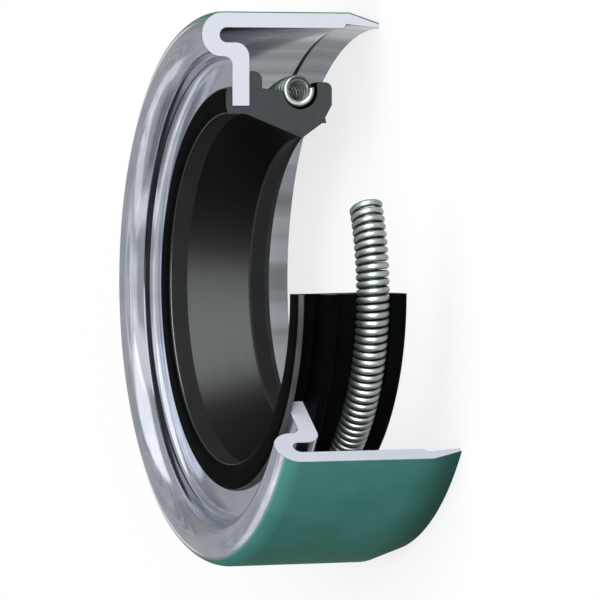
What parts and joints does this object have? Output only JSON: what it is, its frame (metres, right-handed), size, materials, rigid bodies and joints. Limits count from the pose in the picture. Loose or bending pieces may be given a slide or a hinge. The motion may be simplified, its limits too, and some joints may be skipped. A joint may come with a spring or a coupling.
{
  "type": "oil seal",
  "caption": "Radial shaft seal cut open to show its folded steel case, bonded rubber lip and coil spring.",
  "frame": {"origin": "on the shaft's axis, in the plane of the lip's sealing edge", "axes": "+Z along the shaft's axis, towards the folded front of the seal; the seal rests on its open rim; the section is cut in the half plane of +X"},
  "size_m": [0.035, 0.0319, 0.012],
  "materials": {
    "case_steel": "polished",
    "green_coat": "satin",
    "black_rubber": "satin",
    "spring_steel": "gloss"
  },
  "bodies": {
    "root": {"metal_case": "case_steel", "outer_coat": "green_coat", "sealing_lip": "black_rubber", "garter_spring": "spring_steel"}
  },
  "joints": []
}
